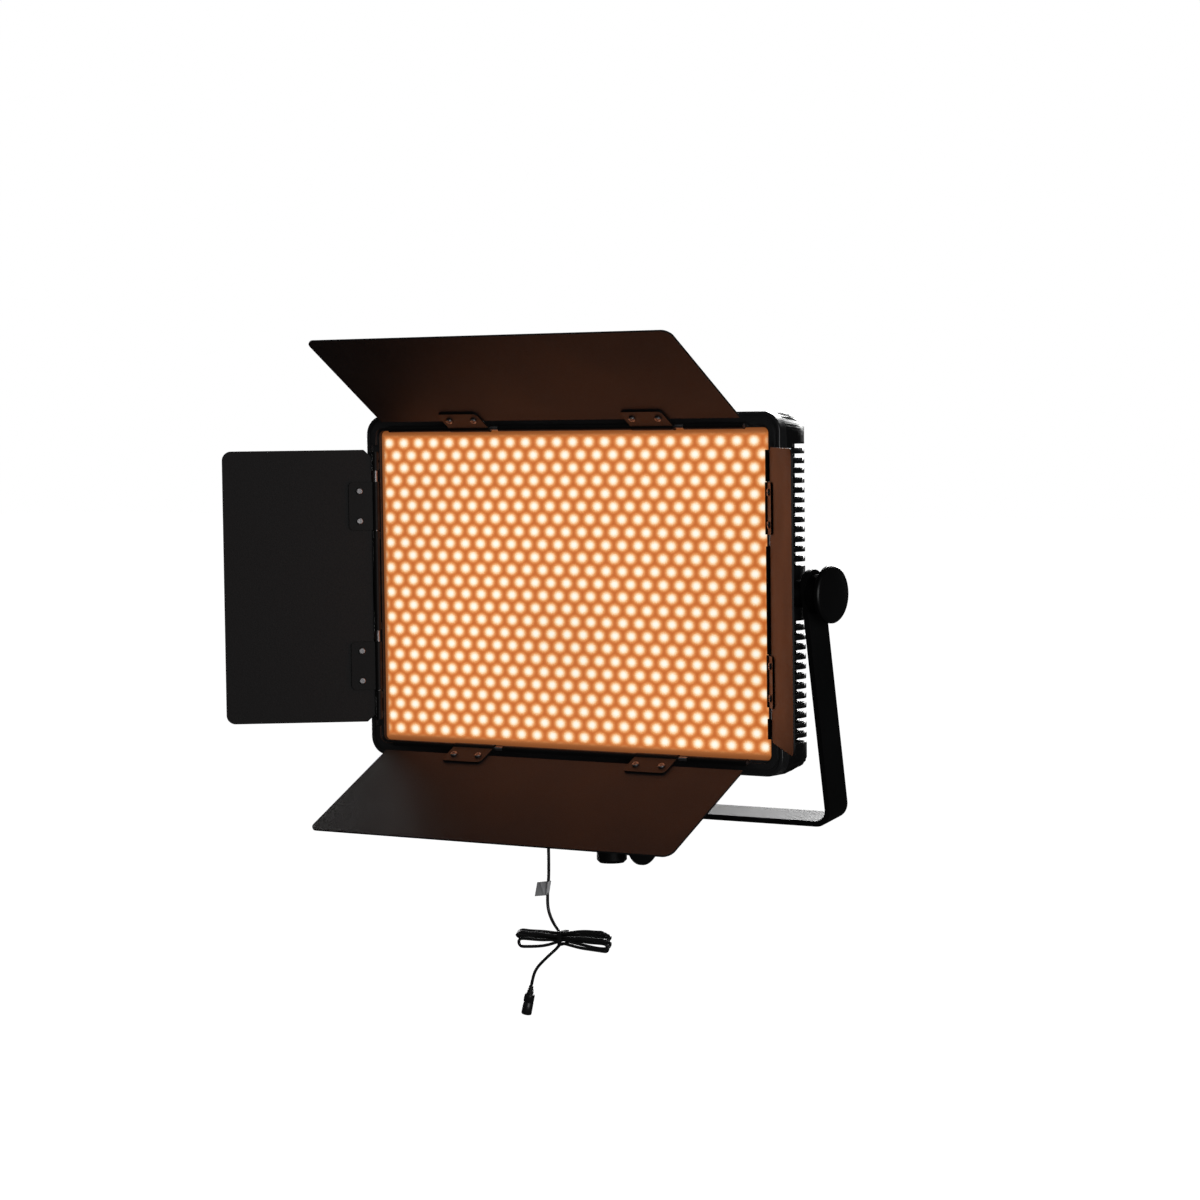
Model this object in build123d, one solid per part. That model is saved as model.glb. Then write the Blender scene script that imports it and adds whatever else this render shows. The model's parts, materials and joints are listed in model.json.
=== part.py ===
from build123d import *
from collections import namedtuple
import math
import os

# Studio LED panel light with four barn doors, a tilting yoke and a spigot socket, in millimetres.
# Frame: origin at the centre of the socket's mouth, +Z up, the light shines towards -Y, +X to its left.
# The panel, the yoke and each door are built in frames of their own and then placed.

# Panel placement: the panel frame has its origin in the plane of the LED tips, at the panel's centre,
# with its front towards -Y.
PANEL_HEIGHT = 236.0
PANEL_BACK = -48.5
PIVOT_Y = 12.0  # tilt axis of the panel, in the panel frame

# Housing
HOUSING_W = 428.4
HOUSING_H = 294.6
FRONT_Y = -12.0
SPLIT_Y = -2.0
REAR_Y = 45.5
CORNER_R = 16.0
SIDE_REAR_R = 30.0
TOP_REAR_R = 14.0
SIDE_WALL = 10.5
TOP_WALL = 3.0
REAR_WALL = 4.0

# Cooling slots in both sides of the rear shell
SLOT_PITCH = 7.94
SLOT_H = 3.6
SLOT_DEPTH = 7.7
SLOTS_PER_BLOCK = 13
SLOT_FIRST_Z = 23.8
SLOT_FRONT_Y = 6.0
SLOT_INNER_X = 170.0

# Front frame
OPENING_W = 403.2
OPENING_H = 269.0
OPENING_R = 4.5
STEP_W = 6.4
STEP_Y = -9.4
RIDGE_OUT = 7.2
GROOVE_OUT = 10.2
GROOVE_DEPTH = 1.4
DIFFUSER_FRONT_Y = -6.0
DIFFUSER_T = 2.0

# LED array: 24 staggered rows of 24
LED_ROWS = 24
LED_COLS = 24
LED_PITCH_X = 16.5
LED_PITCH_Z = 10.77
LENS_R = 4.6
LENS_RISE = 2.0
LENS_TAPER = 35.0
LENS_Y = 0.0
LENS_T = 1.0
LENS_W = 400.0
LENS_H = 264.0
LENS_FEET = [(3, 0), (23, 0), (43, 0), (3, 22), (23, 22), (43, 22), (3, 12), (43, 12)]
CHIP_W = 3.5
CHIP_H = 2.8
CHIP_T = 0.8
BOARD_Y = 3.0
BOARD_W = 401.0
BOARD_H = 266.0
BOARD_T = 1.6
SPREADER_T = 3.0
DRIVER_Y = 16.0
BOSS_SITES = [(5, 2), (23, 2), (41, 2), (5, 20), (23, 14), (41, 20)]
BOSS_R = 5.0

# Barn doors. A door is built with its hinge along X and its sheet towards -Y, and spin turns it round to its
# side of the panel. The brackets sit at plus and minus bracket, and the pin shows on their side bare.
Door = namedtuple("Door", "name width length offset axis_y spin opening bracket bare")
DOORS = [
    Door("top", 371.0, 131.3, 136.0, -17.0, 0, 34.5, 95.0, 1),
    Door("right", 237.0, 132.6, 204.0, -13.0, 90, 40.5, 69.6, 1),
    Door("bottom", 371.0, 131.2, 136.0, -17.0, 180, 29.0, 95.0, -1),
    Door("left", 237.0, 132.6, 204.0, -13.0, 270, 48.1, 69.6, 1),
]
DOOR_T = 1.5
DOOR_START = 11.2
DOOR_CORNER_R = 8.0
BRACKET_W = 42.0
BRACKET_REACH = 23.5
BRACKET_T = 1.6
BRACKET_CORNER_R = 4.0
KNUCKLE_R = 3.2
PIN_R = 1.8
BARE_PIN = 9.0
PIN_INSET = 2.0
TUBE_R = 2.8
TUBE_GAP = 0.6
POST_FROM_END = 4.0
BRACKET_SCREW_OFFSET = 13.0
BRACKET_SCREW_REACH = 14.2
SCREW_M3_R = 1.5
DOOR_SCREW_HEAD_R = 2.9
HEAD_M3_R = 2.7

# Yoke: flat strap bent to a U, leaning forward on the tilt knuckle
YOKE_LEAN = 10.45
YOKE_INNER = 226.8
STRAP_T = 4.8
STRAP_W = 28.0
STRAP_BEND = 10.0
KNUCKLE_TO_BAR = 9.5
KNUCKLE_TO_PIVOT = 201.5
ARM_OVER_PIVOT = 6.0
STUD_R = 4.0
RUNNING = 0.05

# Large clamp knobs, the same on both arms and on the socket
KNOB_R = 23.4
KNOB_LENGTH = 18.5
KNOB_GAP = 0.4
KNOB_STUD_DEPTH = 11.0
SPACER_R = 11.0
STUD_IN_SHELL = 12.0

# Stand socket and tilt knuckle
SOCKET_R = 13.0
SOCKET_BORE_R = 8.0
SOCKET_BORE_DEPTH = 26.0
KNUCKLE_Z = 37.84
EAR_R = 8.5
TONGUE_W = 10.0
CLAMP_Z = 23.2
CLAMP_BOSS = 5.5
TILT_BOLT_R = 4.0
THUMB_NUT_R = 9.0
THUMB_NUT_L = 12.0
TONGUE_SCREW_R = 2.0
TONGUE_SCREW_Y = (-5.5, 5.5)
TONGUE_SCREW_DEPTH = 4.0
CLAMP_STUD_L = 10.5

# Rear controls, in the panel frame
CONTROL_W = 210.0
CONTROL_H = 72.0
CONTROL_Z = -92.0
CONTROL_T = 1.5
CONTROL_FACE = REAR_Y + CONTROL_T
DIAL_X = (46.0, 82.0)
DIAL_Z = -90.0
DIAL_R = 9.0
DIAL_L = 13.0
ROCKER_X = -46.0
ROCKER_Z = -92.0
ROCKER_TILT = 7.0
DISPLAY_W = 52.0
DISPLAY_H = 22.0
DISPLAY_Z = -80.0
BUTTON_Z = -108.0
BUTTON_X = (-10.0, 10.0)
BUTTON_R = 3.5
SOCKET_X = -81.0
SOCKET_Z = -98.0
INLET_R = 5.9
INLET_RIM_R = 7.5
INLET_RIM = 1.0
DIAL_GAP = 1.6
DIAL_SHAFT_R = 2.0
DIAL_BUSH_R = 3.5
AXLE_R = 1.0

# Power lead
LEAD_D = 2.8
LEAD_PLANE = 19.5
LEAD_DROP = [
    (-81.0, 6.0, 122.0),
    (-81.0, 6.5, 108.0),
    (-81.3, 12.0, 84.0),
    (-82.0, 17.5, 58.0),
    (-82.6, 19.5, 30.0),
    (-82.0, 19.5, 3.0),
    (-82.2, 19.5, -21.0),
    (-84.0, 19.5, -37.0),
    (-83.7, 19.5, -48.0),
    (-80.5, 19.5, -56.4),
    (-76.2, 19.5, -62.6),
    (-71.0, 19.5, -68.0),
]
LEAD_TAIL = [
    (-69.0, 19.5, -78.0),
    (-74.5, 19.5, -82.5),
    (-82.0, 19.5, -88.5),
    (-89.8, 19.5, -95.0),
    (-97.0, 19.5, -101.8),
    (-101.0, 19.5, -109.5),
    (-103.0, 19.5, -118.0),
]
HANK_OUTLINE = [
    (-113.0, -67.8),
    (-67.5, -67.9),
    (-36.0, -65.8),
    (-20.0, -63.8),
    (-17.0, -68.0),
    (-17.5, -79.5),
    (-24.0, -82.0),
    (-67.5, -77.8),
    (-111.0, -83.6),
    (-118.4, -79.0),
    (-118.4, -71.5),
]
HANK_T = 10.0
TAG_CORNERS = [(-96.0, -26.0), (-81.5, -23.7), (-83.3, -36.4), (-98.9, -38.6)]
TAG_T = 0.5
TIE_X = -67.5
TIE_W = 3.6
TIE_T = 1.2
TIE_SPAN = (-77.9, -67.7)
TAG_WRAP = ((-82.48, LEAD_PLANE, -23.9), (-83.8, LEAD_PLANE, -36.3))

PANEL_AT = Pos(0, PANEL_BACK, PANEL_HEIGHT)
YOKE_AT = Pos(0, 0, KNUCKLE_Z) * Rot(YOKE_LEAN, 0, 0)


def box(x, y, z):
    """Box from three (low, high) spans."""
    centre = [(a + b) / 2 for a, b in (x, y, z)]
    return Pos(*centre) * Box(x[1] - x[0], y[1] - y[0], z[1] - z[0])


def rod(radius, start, end):
    """Round bar between two points."""
    a, b = Vector(*start), Vector(*end)
    plane = Plane(origin=a, z_dir=b - a)
    return extrude(plane * Circle(radius), (b - a).length)


def frame_prism(width, height, radius, y_low, y_high):
    """Rectangle with round corners in X and Z, extruded along Y."""
    plane = Plane(origin=(0, y_high, 0), x_dir=(1, 0, 0), z_dir=(0, -1, 0))
    return extrude(plane * RectangleRounded(width, height, radius), y_high - y_low)


def side_profile(half_width, corner_y, radius, front_y):
    """Closed outline in X and Y: straight front, rear corners rounded about a fixed centre."""
    rear_y = corner_y + radius
    inner = half_width - radius
    dx = radius * math.sin(math.pi / 4)
    return [
        Line((-half_width, front_y), (half_width, front_y)),
        Line((half_width, front_y), (half_width, corner_y)),
        ThreePointArc((half_width, corner_y), (inner + dx, corner_y + dx), (inner, rear_y)),
        Line((inner, rear_y), (-inner, rear_y)),
        ThreePointArc((-inner, rear_y), (-inner - dx, corner_y + dx), (-half_width, corner_y)),
        Line((-half_width, corner_y), (-half_width, front_y)),
    ]


def side_solid(inset, front_y, low_z, high_z):
    """Prism along Z of the housing's plan, moved in by inset."""
    outline = side_profile(
        HOUSING_W / 2 - inset, REAR_Y - SIDE_REAR_R, SIDE_REAR_R - inset, front_y
    )
    face = make_face(outline)
    return Pos(0, 0, low_z) * extrude(face, high_z - low_z)


def end_solid(half_height, front_y, rear_y, radius):
    """Prism along X of the housing's side view, its rear corners rounded."""
    face = Plane.YZ * Pos((front_y + rear_y) / 2, 0) * Rectangle(rear_y - front_y, 2 * half_height)
    solid = Pos(-HOUSING_W, 0, 0) * extrude(face, 2 * HOUSING_W)
    rear_edges = solid.edges().filter_by(Axis.X).group_by(Axis.Y)[-1]
    return fillet(rear_edges, radius)


def housing_outer():
    """The rear shell's outside: front outline, rounded sides and rounded top and bottom, intersected."""
    front = frame_prism(HOUSING_W, HOUSING_H, CORNER_R, SPLIT_Y, REAR_Y)
    plan = side_solid(0, SPLIT_Y, -HOUSING_H, HOUSING_H)
    ends = end_solid(HOUSING_H / 2, SPLIT_Y - 1, REAR_Y, TOP_REAR_R)
    return front & plan & ends


def cooling_slots():
    """Slot cutters: the skin between the housing's plan and the slot floor, behind the front belt."""
    outer = side_solid(-1.0, SLOT_FRONT_Y, 0, SLOT_H)
    floor = side_solid(SLOT_DEPTH, SLOT_FRONT_Y - 1, -1, SLOT_H + 1)
    middle = box((-SLOT_INNER_X, SLOT_INNER_X), (0, 2 * REAR_Y), (-1, SLOT_H + 1))
    slot = outer - floor - middle
    cutters = []
    for i in range(SLOTS_PER_BLOCK):
        z = SLOT_FIRST_Z + i * SLOT_PITCH
        cutters.append(Pos(0, 0, z - SLOT_H / 2) * slot)
        cutters.append(Pos(0, 0, -z - SLOT_H / 2) * slot)
    return [s for c in cutters for s in c.solids()]


def rear_shell():
    """Die-cast rear shell with side fins, inner bosses and the control recess."""
    cavity_plan = side_solid(SIDE_WALL, SPLIT_Y - 1, -HOUSING_H, HOUSING_H)
    cavity_ends = end_solid(HOUSING_H / 2 - TOP_WALL, SPLIT_Y - 2, REAR_Y - SIDE_WALL, TOP_REAR_R)
    shell = housing_outer() - (cavity_plan & cavity_ends)
    deep = box((-165, 165), (20, REAR_Y - REAR_WALL), (-130, 130))
    shell -= deep
    shell -= cooling_slots()
    boss_y = BOARD_Y + BOARD_T + SPREADER_T
    for x, z in boss_sites(BOSS_SITES):
        boss = rod(BOSS_R, (x, boss_y, z), (x, REAR_Y - REAR_WALL + 1, z))
        shell += boss - rod(SCREW_M3_R, (x, boss_y - 1, z), (x, boss_y + 16, z))
    wall = HOUSING_W / 2
    for side in (-1, 1):
        shell -= rod(STUD_R + RUNNING, (side * (wall - 14), PIVOT_Y, 0), (side * (wall + 1), PIVOT_Y, 0))
    half_w, half_h = CONTROL_W / 2 - 9, CONTROL_H / 2 - 6
    shell -= box((-half_w, half_w), (REAR_Y - 10, REAR_Y + 1), (CONTROL_Z - half_h, CONTROL_Z + half_h))
    shell -= [rod(SCREW_M3_R, (x, 0, z), (x, REAR_Y + 1, z)) for x, z in control_screw_sites()]
    return shell


def front_frame():
    """Front frame: stepped ring that holds the diffuser and carries the door hinges."""
    ring = frame_prism(HOUSING_W, HOUSING_H, CORNER_R, FRONT_Y, SPLIT_Y)
    ring = fillet(ring.edges().group_by(Axis.Y)[0], 1.2)
    ring -= frame_prism(OPENING_W, OPENING_H, OPENING_R, FRONT_Y - 1, SPLIT_Y + 1)
    ring -= frame_prism(
        OPENING_W + 7, OPENING_H + 7, OPENING_R + 2, DIFFUSER_FRONT_Y, SPLIT_Y + 1
    )
    groove = frame_prism(
        OPENING_W + 2 * GROOVE_OUT, OPENING_H + 2 * GROOVE_OUT, 14.0, FRONT_Y - 1, FRONT_Y + GROOVE_DEPTH
    ) - frame_prism(
        OPENING_W + 2 * RIDGE_OUT, OPENING_H + 2 * RIDGE_OUT, 11.0, FRONT_Y - 2, FRONT_Y + GROOVE_DEPTH + 1
    )
    ring -= groove
    step = frame_prism(OPENING_W + 4.6, OPENING_H + 4.6, 7.0, FRONT_Y - 1, STEP_Y)
    ring -= step
    for door in DOORS:
        turn = Rot(0, door.spin, 0)
        y, z = door.axis_y, door.offset
        if door.spin % 180:
            half = door.width / 2 + 4
            ring -= turn * box((-half, half), (FRONT_Y - 2, STEP_Y), (z - 6, z + 4.6))
        for x in tube_supports(door):
            post = box((x - 3, x + 3), (y + TUBE_R / 2, STEP_Y + 0.5), (z - 1.6, z + 1.6))
            ring += turn * (post - rod(TUBE_R, (x - 4, y, z), (x + 4, y, z)))
    return ring


def tube_spans(door):
    """Where the fixed hinge tubes run along the hinge, past the brackets and their bare pins."""
    half = door.width / 2 - PIN_INSET
    gap = BRACKET_W / 2 + TUBE_GAP
    spans = [
        (-half, -door.bracket - gap),
        (-door.bracket + gap + BARE_PIN, door.bracket - gap),
        (door.bracket + gap + BARE_PIN, half),
    ]
    return [sorted((door.bare * a, door.bare * b)) for a, b in spans]


def tube_supports(door):
    """Centres of the small posts that hold the hinge tubes on the front frame."""
    return [x for a, b in tube_spans(door) for x in (a + POST_FROM_END, b - POST_FROM_END)]


def hinge_rails():
    """The four steel pins, and the fixed tubes round them between the brackets."""
    pins, tubes = [], []
    for door in DOORS:
        turn = Rot(0, door.spin, 0) * Pos(0, door.axis_y, door.offset)
        half = door.width / 2 - PIN_INSET
        pin = rod(PIN_R, (-half, 0, 0), (half, 0, 0))
        pins.append(turn * pin)
        tubes += [turn * (rod(TUBE_R, (a, 0, 0), (b, 0, 0)) - pin) for a, b in tube_spans(door)]
    return {"hinge_pins": Compound(pins), "hinge_tubes": Compound(tubes)}


def door_placement(door):
    """From a door's own frame (hinge on X, sheet towards -Y) to the part's frame."""
    hinge = PANEL_AT * Rot(0, door.spin, 0) * Pos(0, door.axis_y, door.offset)
    return hinge * Rot(-door.opening, 0, 0)


def bracket_screw_places(door):
    """X of the screws that hold a door to its two brackets."""
    offsets = (-BRACKET_SCREW_OFFSET, BRACKET_SCREW_OFFSET)
    return [x + dx for x in (-door.bracket, door.bracket) for dx in offsets]


def bracket_screw_holes(door):
    """Cutters for the screw holes through brackets and sheet."""
    y = -BRACKET_SCREW_REACH
    reach = BRACKET_T + DOOR_T
    return [rod(SCREW_M3_R, (x, y, -reach), (x, y, reach)) for x in bracket_screw_places(door)]


def door_sheet(door):
    """Door sheet with rounded outer corners; its inner face is the plane z = 0."""
    sheet = box((-door.width / 2, door.width / 2), (-door.length, -DOOR_START), (0, DOOR_T))
    sheet = fillet(sheet.edges().filter_by(Axis.Z).group_by(Axis.Y)[0], DOOR_CORNER_R)
    return sheet - bracket_screw_holes(door)


def hinge_brackets(door):
    """Two flat brackets on the door's inner face, each with a knuckle on the pin."""
    brackets = []
    for x in (-door.bracket, door.bracket):
        low, high = x - BRACKET_W / 2, x + BRACKET_W / 2
        plate = box((low, high), (-BRACKET_REACH, 0), (-BRACKET_T, 0))
        plate = fillet(plate.edges().filter_by(Axis.Z).group_by(Axis.Y)[0], BRACKET_CORNER_R)
        plate += rod(KNUCKLE_R, (low, 0, 0), (high, 0, 0))
        plate -= rod(PIN_R + RUNNING, (low - 1, 0, 0), (high + 1, 0, 0))
        brackets.append(plate - bracket_screw_holes(door))
    return Compound(brackets)


def bracket_screws(door):
    """Domed cross-head screws through brackets and sheet."""
    head = rod(DOOR_SCREW_HEAD_R, (0, 0, -BRACKET_T - 1.7), (0, 0, -BRACKET_T))
    head = fillet(head.edges().group_by(Axis.Z)[0], 0.9)
    for width, height in ((0.9, 3.6), (3.6, 0.9)):
        head -= Pos(0, 0, -BRACKET_T - 1.7) * Box(width, height, 1.4)
    screw = head + rod(SCREW_M3_R, (0, 0, -BRACKET_T), (0, 0, DOOR_T + 0.6))
    return Compound([Pos(x, -BRACKET_SCREW_REACH, 0) * screw for x in bracket_screw_places(door)])


def door_parts(door):
    """All nodes of one barn door."""
    place = door_placement(door)
    return {
        f"barn_door_{door.name}": place * door_sheet(door),
        f"door_brackets_{door.name}": place * hinge_brackets(door),
        f"bracket_screws_{door.name}": place * bracket_screws(door),
    }


def led_sites():
    """Where the LEDs sit: even rows and odd rows are half a pitch apart."""
    sites = []
    for row in range(LED_ROWS):
        z = ((LED_ROWS - 1) / 2 - row) * LED_PITCH_Z
        first = -(LED_COLS - 0.5) / 2 + (row % 2) / 2
        sites += [((first + col) * LED_PITCH_X, z) for col in range(LED_COLS)]
    return sites


def boss_sites(steps):
    """Places midway between neighbouring LEDs, from half-pitch and row counts."""
    middle = LED_COLS - 0.5
    return [
        ((u - middle) * LED_PITCH_X / 2, ((LED_ROWS - 1) / 2 - v) * LED_PITCH_Z) for u, v in steps
    ]


def lens_sheet():
    """Moulded clear sheet with one dome over each LED and short feet on the board."""
    half_w, half_h = LENS_W / 2, LENS_H / 2
    sheet = box((-half_w, half_w), (LENS_Y, LENS_Y + LENS_T), (-half_h, half_h))
    dome = extrude(Plane.XZ * Circle(LENS_R), LENS_RISE, taper=LENS_TAPER)
    sheet += [Pos(x, LENS_Y, z) * dome for x, z in led_sites()]
    feet = [rod(2.0, (x, LENS_Y + LENS_T, z), (x, BOARD_Y, z)) for x, z in boss_sites(LENS_FEET)]
    return sheet + feet


def led_board():
    """White board with all LED chips soldered on, one piece."""
    board = box((-BOARD_W / 2, BOARD_W / 2), (BOARD_Y, BOARD_Y + BOARD_T), (-BOARD_H / 2, BOARD_H / 2))
    chip = Box(CHIP_W, CHIP_T, CHIP_H)
    board += [Pos(x, BOARD_Y - CHIP_T / 2, z) * chip for x, z in led_sites()]
    board -= [rod(3.0, (x, 0, z), (x, BOARD_Y + BOARD_T, z)) for x, z in boss_sites(BOSS_SITES)]
    return board


def panel_inside():
    """Diffuser, gasket, boards and electronics between the two housing halves."""
    plate_y = BOARD_Y + BOARD_T
    plate_back = plate_y + SPREADER_T
    sheet_w, sheet_h = OPENING_W + 6, OPENING_H + 6
    gasket_y = DIFFUSER_FRONT_Y + DIFFUSER_T
    diffuser = frame_prism(sheet_w, sheet_h, OPENING_R + 1, DIFFUSER_FRONT_Y, gasket_y)
    gasket = frame_prism(sheet_w, sheet_h, OPENING_R + 1, gasket_y, SPLIT_Y)
    gasket -= frame_prism(OPENING_W - 4, OPENING_H - 4, OPENING_R, gasket_y - 1, SPLIT_Y + 1)
    spreader = box((-BOARD_W / 2, BOARD_W / 2), (plate_y, plate_back), (-BOARD_H / 2, BOARD_H / 2))
    screws = []
    for x, z in boss_sites(BOSS_SITES):
        spreader -= rod(SCREW_M3_R, (x, 0, z), (x, plate_back + 1, z))
        head = rod(HEAD_M3_R, (x, plate_y - 1.6, z), (x, plate_y, z))
        screws.append(head + rod(SCREW_M3_R, (x, plate_y, z), (x, plate_y + 15, z)))
    top = DRIVER_Y + BOARD_T
    board = box((-120, 20), (DRIVER_Y, top), (0, 88))
    standoffs = [rod(3, (x, plate_back, z), (x, DRIVER_Y, z)) for x in (-112, 12) for z in (8, 80)]
    capacitors = [rod(6, (x, top, z), (x, top + 16, z)) for x in (-100, -80) for z in (24, 66)]
    coils = [rod(8, (x, top, 45), (x, top + 11, 45)) for x in (-50, -25)]
    chips = [box((x, x + 12), (top, top + 3), (18, 30)) for x in (-55, -30, -5)]
    return {
        "diffuser_sheet": diffuser,
        "diffuser_gasket": gasket,
        "lens_sheet": lens_sheet(),
        "led_board": led_board(),
        "heat_spreader": spreader,
        "spreader_screws": Compound(screws),
        "driver_board": board,
        "driver_standoffs": Compound(standoffs),
        "driver_components": Compound(capacitors + coils + chips),
    }


def control_screw_sites():
    """The four corner screws of the control plate."""
    x, z = CONTROL_W / 2 - 5, CONTROL_H / 2 - 8
    return [(sx * x, CONTROL_Z + sz * z) for sx in (-1, 1) for sz in (-1, 1)]


def control_plate():
    """Rear plate with its openings, and its screws."""
    face = CONTROL_FACE
    half_w, half_h = CONTROL_W / 2, CONTROL_H / 2
    plate = box((-half_w, half_w), (REAR_Y, face), (CONTROL_Z - half_h, CONTROL_Z + half_h))
    plate = fillet(plate.edges().filter_by(Axis.Y), 5.0)
    plate -= Pos(0, face, DISPLAY_Z) * Box(DISPLAY_W, 10, DISPLAY_H)
    plate -= Pos(ROCKER_X, face, ROCKER_Z) * Box(20, 10, 26)
    holes = [(x, DIAL_Z, DIAL_BUSH_R + RUNNING) for x in DIAL_X]
    holes += [(x, BUTTON_Z, BUTTON_R + 0.15) for x in BUTTON_X]
    holes += [(SOCKET_X, SOCKET_Z, INLET_R + 0.1)]
    holes += [(x, z, SCREW_M3_R) for x, z in control_screw_sites()]
    plate -= [rod(radius, (x, 0, z), (x, face + 1, z)) for x, z, radius in holes]
    screws = []
    for x, z in control_screw_sites():
        head = rod(HEAD_M3_R, (x, face, z), (x, face + 1.6, z))
        head = fillet(head.edges().group_by(Axis.Y)[-1], 0.8)
        screws.append(head + rod(SCREW_M3_R, (x, REAR_Y - 5, z), (x, face, z)))
    return {"control_plate": plate, "control_screws": Compound(screws)}


def dial_parts():
    """Two dials, each on a shaft in the bush of its sensor; the sensors are one group."""
    face = CONTROL_FACE
    parts, sensors = {}, []
    for name, x in zip(("brightness", "colour"), DIAL_X):
        body = Pos(x, REAR_Y - 10.2, DIAL_Z) * Box(12, 8.4, 12)
        bush = rod(DIAL_BUSH_R, (x, REAR_Y - 6, DIAL_Z), (x, face + 1.2, DIAL_Z))
        bore = rod(DIAL_SHAFT_R + RUNNING, (x, REAR_Y - 9, DIAL_Z), (x, face + 2, DIAL_Z))
        sensors.append(body + bush - bore)
        end = face + DIAL_GAP + DIAL_L
        dial = rod(DIAL_R, (x, face + DIAL_GAP, DIAL_Z), (x, end, DIAL_Z))
        dial = fillet(dial.edges().group_by(Axis.Y)[-1], 1.2)
        dial -= Pos(x, end, DIAL_Z + DIAL_R - 3) * Box(1.2, 2, 8)
        shaft = rod(DIAL_SHAFT_R, (x, REAR_Y - 8.5, DIAL_Z), (x, face + DIAL_GAP, DIAL_Z))
        parts[f"{name}_dial"] = dial + shaft
    parts["dial_sensors"] = Compound(sensors)
    return parts


def button_parts():
    """Push buttons behind the plate, over the switches on the control board."""
    face = CONTROL_FACE
    parts, switches = {}, []
    for name, x in zip(("mode", "channel"), BUTTON_X):
        cap = rod(BUTTON_R, (x, REAR_Y - 0.2, BUTTON_Z), (x, face + 1.8, BUTTON_Z))
        cap = fillet(cap.edges().group_by(Axis.Y)[-1], 0.7)
        flange = rod(BUTTON_R + 1.1, (x, REAR_Y - 1.6, BUTTON_Z), (x, REAR_Y - 0.2, BUTTON_Z))
        stem = rod(2.0, (x, REAR_Y - 4.6, BUTTON_Z), (x, REAR_Y - 1.6, BUTTON_Z))
        parts[f"{name}_button"] = cap + flange + stem
        switches.append(Pos(x, REAR_Y - 10.2, BUTTON_Z) * Box(6, 8.4, 6))
    parts["button_switches"] = Compound(switches)
    return parts


def rocker_parts():
    """Power rocker on its axle in a snap-in frame, resting in its on position."""
    face = CONTROL_FACE
    axle_y = face - 1.5
    at = Pos(ROCKER_X, 0, ROCKER_Z)
    frame = box((-9.9, 9.9), (REAR_Y - 13, face), (-12.9, 12.9))
    frame += box((-11.5, 11.5), (face, face + 1.2), (-15, 15))
    frame -= box((-7.6, 7.6), (REAR_Y - 9, face + 3), (-11, 11))
    frame -= rod(AXLE_R + RUNNING, (-9.4, axle_y, 0), (9.4, axle_y, 0))
    outline = Polyline((-3, -9.6), (3.6, -9.6), (1.6, 0), (3.6, 9.6), (-3, 9.6), (-3, -9.6))
    body = extrude(Plane.YZ * make_face(outline), 7.2, both=True)
    rocker = Pos(0, axle_y, 0) * Rot(ROCKER_TILT, 0, 0) * body
    return {
        "rocker_frame": at * frame,
        "power_rocker": at * (rocker + rod(AXLE_R, (-9, axle_y, 0), (9, axle_y, 0))),
    }


def control_parts():
    """Everything on the rear control plate."""
    face = CONTROL_FACE
    parts = {**control_plate(), **dial_parts(), **button_parts(), **rocker_parts()}
    window = Pos(0, face - 1.0, DISPLAY_Z) * Box(DISPLAY_W - 0.2, 1.6, DISPLAY_H - 0.2)
    parts["display_window"] = window
    parts["display_module"] = Pos(0, REAR_Y - 2.8, DISPLAY_Z) * Box(60, 5, 26)
    parts["control_board"] = Pos(0, REAR_Y - 15.2, CONTROL_Z) * Box(190, 1.6, 56)
    inlet = rod(INLET_R, (SOCKET_X, REAR_Y - 14.4, SOCKET_Z), (SOCKET_X, face, SOCKET_Z))
    inlet += rod(INLET_RIM_R, (SOCKET_X, face, SOCKET_Z), (SOCKET_X, face + INLET_RIM, SOCKET_Z))
    inlet -= rod(2.8, (SOCKET_X, REAR_Y - 10, SOCKET_Z), (SOCKET_X, face + 2, SOCKET_Z))
    inlet += rod(0.9, (SOCKET_X, REAR_Y - 11, SOCKET_Z), (SOCKET_X, REAR_Y - 1, SOCKET_Z))
    parts["power_inlet"] = inlet
    return parts


def lead_plug():
    """Right-angled barrel plug in the power inlet, in the panel frame."""
    face = CONTROL_FACE + INLET_RIM
    barrel = rod(2.75, (SOCKET_X, face - 9, SOCKET_Z), (SOCKET_X, face, SOCKET_Z))
    barrel -= rod(1.25, (SOCKET_X, face - 10, SOCKET_Z), (SOCKET_X, face - 1, SOCKET_Z))
    body = rod(5.0, (SOCKET_X, face, SOCKET_Z), (SOCKET_X, face + 12, SOCKET_Z))
    body = fillet(body.edges().group_by(Axis.Y)[-1], 2.0)
    exit_y = LEAD_DROP[0][1] - PANEL_BACK
    exit_z = LEAD_DROP[0][2] - PANEL_HEIGHT
    neck = loft(
        [
            Plane(origin=(SOCKET_X, exit_y, SOCKET_Z)) * Circle(4.2),
            Plane(origin=(SOCKET_X, exit_y, exit_z + 0.1)) * Circle(2.2),
        ]
    )
    return barrel + body + neck


def knob(at, side):
    """Clamp knob, turned about X: flared hub, wide rim and a shallow dome."""
    outline = [
        Polyline((0, 0), (0, 16.0), (1.0, 16.0)),
        ThreePointArc((1.0, 16.0), (7.5, 18.2), (13.0, KNOB_R)),
        Line((13.0, KNOB_R), (15.5, KNOB_R)),
        ThreePointArc((15.5, KNOB_R), (16.9, 22.3), (17.5, 20.0)),
        ThreePointArc((17.5, 20.0), (18.2, 12.0), (KNOB_LENGTH, 4.0)),
        Polyline((KNOB_LENGTH, 4.0), (KNOB_LENGTH, 0), (0, 0)),
    ]
    body = revolve(make_face(outline), Axis.X, 360)
    body -= rod(STUD_R, (-1, 0, 0), (KNOB_STUD_DEPTH, 0, 0))
    return at * (body if side > 0 else mirror(body, Plane.YZ))


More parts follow.
